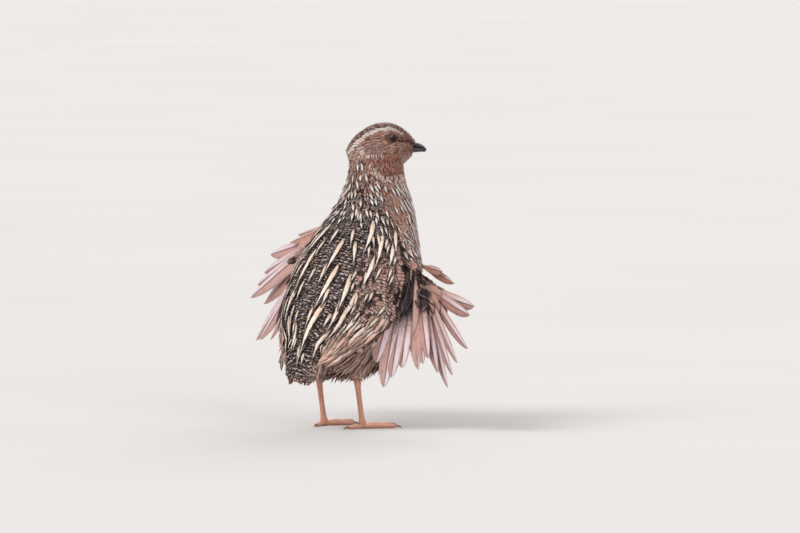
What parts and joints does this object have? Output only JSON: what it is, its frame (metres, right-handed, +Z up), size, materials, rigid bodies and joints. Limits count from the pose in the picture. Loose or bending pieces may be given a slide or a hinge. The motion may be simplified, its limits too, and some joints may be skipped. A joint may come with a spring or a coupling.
{
  "type": "coturnix quail",
  "caption": "Life-size quail standing upright with ruffled plumage, head turned over its right shoulder, wings half open and fanned, short drooping tail, bare legs and toes.",
  "frame": {"origin": "on the floor, under the middle of the whole bird's bounding box, between the feet", "axes": "+Z up, +Y the way the body faces, +X the bird's right side"},
  "size_m": [0.1706, 0.0806, 0.1515],
  "materials": {
    "plumage_back": "soft feathers, black-brown with cream streaks",
    "plumage_neck": "soft feathers, rufous with pale streaks",
    "plumage_head": "short smooth feathers, rufous-brown",
    "plumage_wing": "smooth feather vanes, pinkish brown",
    "plumage_belly": "soft feathers, buff",
    "bill_horn": "satin horn, blackish",
    "eye": "wet gloss, dark brown",
    "leg_skin": "scaled skin, pale orange pink",
    "claw": "satin horn, brown"
  },
  "bodies": {
    "root": {"torso": "plumage_back", "neck": "plumage_neck", "head": "plumage_head", "bill_upper": "bill_horn", "bill_lower": "bill_horn", "eye_left": "eye", "eye_right": "eye", "tail": "plumage_back", "wing_left": "plumage_wing", "wing_right": "plumage_wing", "thigh_left": "plumage_belly", "thigh_right": "plumage_belly", "shank_left": "leg_skin", "shank_right": "leg_skin", "foot_left": "leg_skin", "foot_right": "leg_skin", "claw_inner_left": "claw", "claw_middle_left": "claw", "claw_outer_left": "claw", "claw_hind_left": "claw", "claw_inner_right": "claw", "claw_middle_right": "claw", "claw_outer_right": "claw", "claw_hind_right": "claw"}
  },
  "joints": []
}
